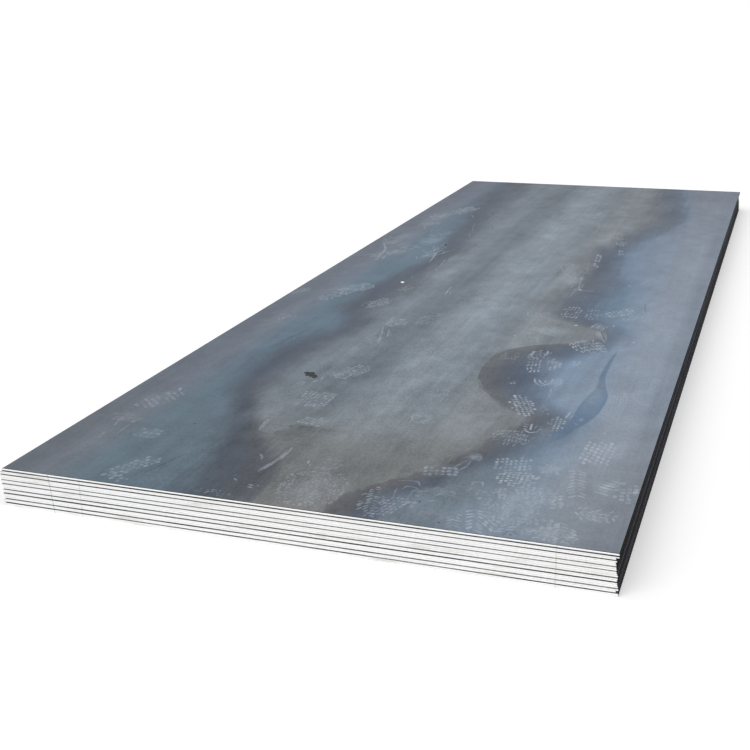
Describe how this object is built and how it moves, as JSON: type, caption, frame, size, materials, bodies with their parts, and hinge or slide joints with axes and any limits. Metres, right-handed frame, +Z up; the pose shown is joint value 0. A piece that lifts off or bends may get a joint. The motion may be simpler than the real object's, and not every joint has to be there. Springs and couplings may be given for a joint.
{
  "type": "steel plate stack",
  "caption": "Tight stack of hot-rolled steel plates, laid flat one on another, with blue-grey mill scale on top, rolled long edges and bright sheared ends.",
  "frame": {"origin": "middle of the stack's underside, on the floor", "axes": "+X across the plates' width, +Y along the plates' length from the near end to the far end, +Z up"},
  "size_m": [2.011, 6.0022, 0.132],
  "materials": {
    "hot_rolled_steel": "hot-rolled mill scale in blue-grey and brown temper tints, with bare bright steel on the sheared ends and dusty boot prints on the top plate"
  },
  "bodies": {
    "root": {"plate_01": "hot_rolled_steel", "plate_02": "hot_rolled_steel", "plate_03": "hot_rolled_steel", "plate_04": "hot_rolled_steel", "plate_05": "hot_rolled_steel", "plate_06": "hot_rolled_steel", "plate_07": "hot_rolled_steel", "plate_08": "hot_rolled_steel", "plate_09": "hot_rolled_steel", "plate_10": "hot_rolled_steel", "plate_11": "hot_rolled_steel", "plate_12": "hot_rolled_steel", "plate_13": "hot_rolled_steel", "plate_14": "hot_rolled_steel", "plate_15": "hot_rolled_steel", "plate_16": "hot_rolled_steel", "plate_17": "hot_rolled_steel", "plate_18": "hot_rolled_steel", "plate_19": "hot_rolled_steel", "plate_20": "hot_rolled_steel"}
  },
  "joints": []
}
